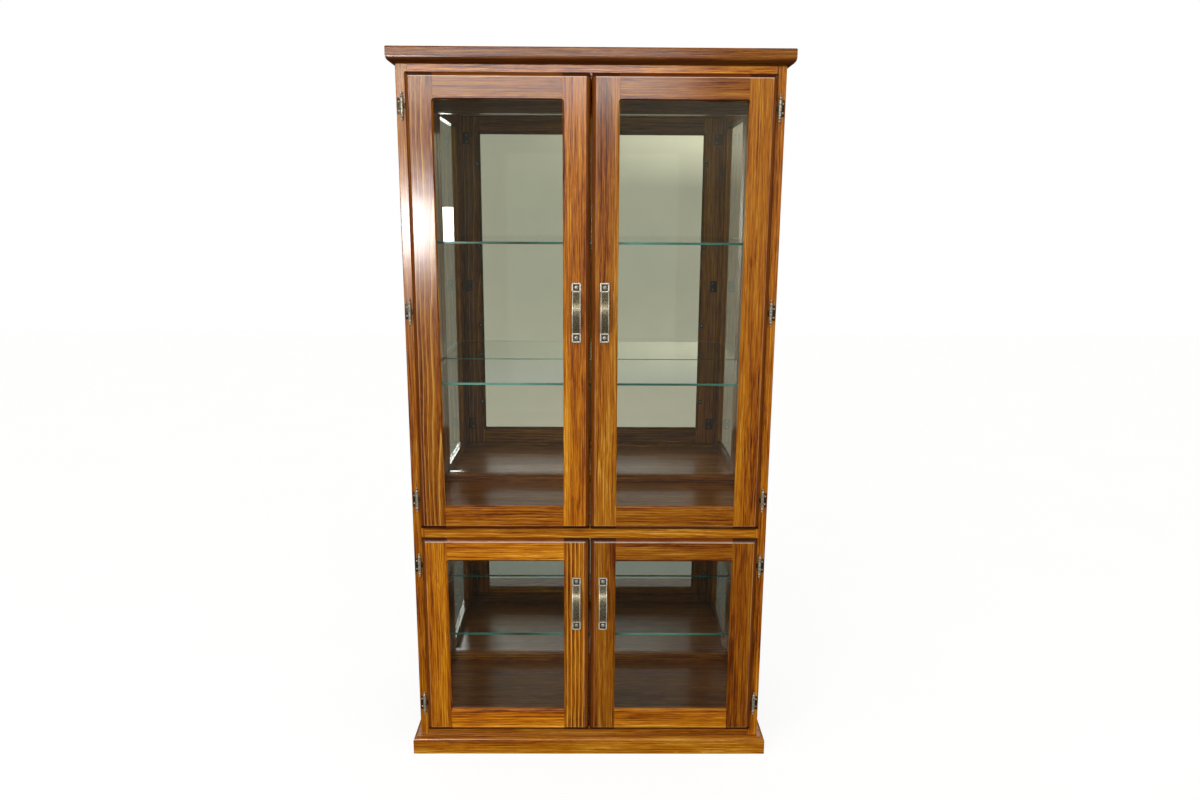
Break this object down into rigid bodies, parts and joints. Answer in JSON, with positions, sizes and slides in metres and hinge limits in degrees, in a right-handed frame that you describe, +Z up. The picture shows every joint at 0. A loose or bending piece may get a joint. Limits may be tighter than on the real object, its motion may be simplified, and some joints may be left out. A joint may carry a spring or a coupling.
{
  "type": "display cabinet",
  "caption": "Free-standing pine display cabinet with lipped glass doors over and under a mid rail, mirrored back, glass shelves, glazed sides, finial hinges and bow handles.",
  "frame": {"origin": "on the floor, under the middle of the overall width and of the overall depth with the handles", "axes": "+Z up, +X to the right of someone who looks at the doors, -Y out of the front through the doors, +Y to the wall"},
  "size_m": [0.988, 0.4964, 1.882],
  "materials": {
    "lacquered_pine": "gloss lacquer on stained pine",
    "lacquered_pine_trim": "gloss lacquer on stained pine",
    "door_pine": "gloss lacquer on stained pine",
    "case_pine": "gloss lacquer on stained pine",
    "floor_pine": "gloss lacquer on stained pine",
    "back_board": "plain, unlacquered",
    "clear_glass": "polished",
    "shelf_glass": "polished, green edges",
    "silvered_mirror": "mirror",
    "antique_brass": "antique, brushed with bright rims",
    "hinge_brass": "antique, polished barrels",
    "nickel_steel": "dull nickel plate"
  },
  "bodies": {
    "cabinet": {"back_panel": "back_board", "back_rail": "case_pine", "bottom_panel": "floor_pine", "divider_panel": "floor_pine", "frame_rail_bottom": "lacquered_pine", "frame_rail_middle": "lacquered_pine", "frame_rail_top": "lacquered_pine", "frame_stile_left": "lacquered_pine", "frame_stile_right": "lacquered_pine", "glass_shelf_lower": "shelf_glass", "glass_shelf_middle": "shelf_glass", "glass_shelf_upper": "shelf_glass", "hinge_frame_leaves": "hinge_brass", "hinge_pins": "hinge_brass", "mirror_lower": "silvered_mirror", "mirror_strip_lower": "lacquered_pine_trim", "mirror_strip_upper": "lacquered_pine_trim", "mirror_upper": "silvered_mirror", "plinth_front": "lacquered_pine", "plinth_left": "lacquered_pine", "plinth_right": "lacquered_pine", "shelf_pins": "nickel_steel", "side_frame_left": "case_pine", "side_frame_right": "case_pine", "side_glass_left_lower": "clear_glass", "side_glass_left_upper": "clear_glass", "side_glass_right_lower": "clear_glass", "side_glass_right_upper": "clear_glass", "top_board": "lacquered_pine"},
    "door_upper_left": {"door_upper_left_bottom_rail": "door_pine", "door_upper_left_glass": "clear_glass", "door_upper_left_hinge_stile": "door_pine", "door_upper_left_meeting_stile": "door_pine", "door_upper_left_top_rail": "door_pine", "handle_upper_left": "antique_brass", "hinge_leaves_upper_left": "hinge_brass"},
    "door_upper_right": {"door_upper_right_bottom_rail": "door_pine", "door_upper_right_glass": "clear_glass", "door_upper_right_hinge_stile": "door_pine", "door_upper_right_meeting_stile": "door_pine", "door_upper_right_top_rail": "door_pine", "handle_upper_right": "antique_brass", "hinge_leaves_upper_right": "hinge_brass"},
    "door_lower_left": {"door_lower_left_bottom_rail": "door_pine", "door_lower_left_glass": "clear_glass", "door_lower_left_hinge_stile": "door_pine", "door_lower_left_meeting_stile": "door_pine", "door_lower_left_top_rail": "door_pine", "handle_lower_left": "antique_brass", "hinge_leaves_lower_left": "hinge_brass"},
    "door_lower_right": {"door_lower_right_bottom_rail": "door_pine", "door_lower_right_glass": "clear_glass", "door_lower_right_hinge_stile": "door_pine", "door_lower_right_meeting_stile": "door_pine", "door_lower_right_top_rail": "door_pine", "handle_lower_right": "antique_brass", "hinge_leaves_lower_right": "hinge_brass"}
  },
  "joints": [
    {"name": "door_upper_left_hinge", "type": "hinge", "parent": "cabinet", "child": "door_upper_left", "pos_m": [-0.4609, -0.21295, 1.245], "axis": [0, 0, -1], "range_deg": [0, 110]},
    {"name": "door_upper_right_hinge", "type": "hinge", "parent": "cabinet", "child": "door_upper_right", "pos_m": [0.4609, -0.21295, 1.245], "axis": [0, 0, 1], "range_deg": [0, 110]},
    {"name": "door_lower_left_hinge", "type": "hinge", "parent": "cabinet", "child": "door_lower_left", "pos_m": [-0.4609, -0.21295, 0.353], "axis": [0, 0, -1], "range_deg": [0, 110]},
    {"name": "door_lower_right_hinge", "type": "hinge", "parent": "cabinet", "child": "door_lower_right", "pos_m": [0.4609, -0.21295, 0.353], "axis": [0, 0, 1], "range_deg": [0, 110]}
  ]
}
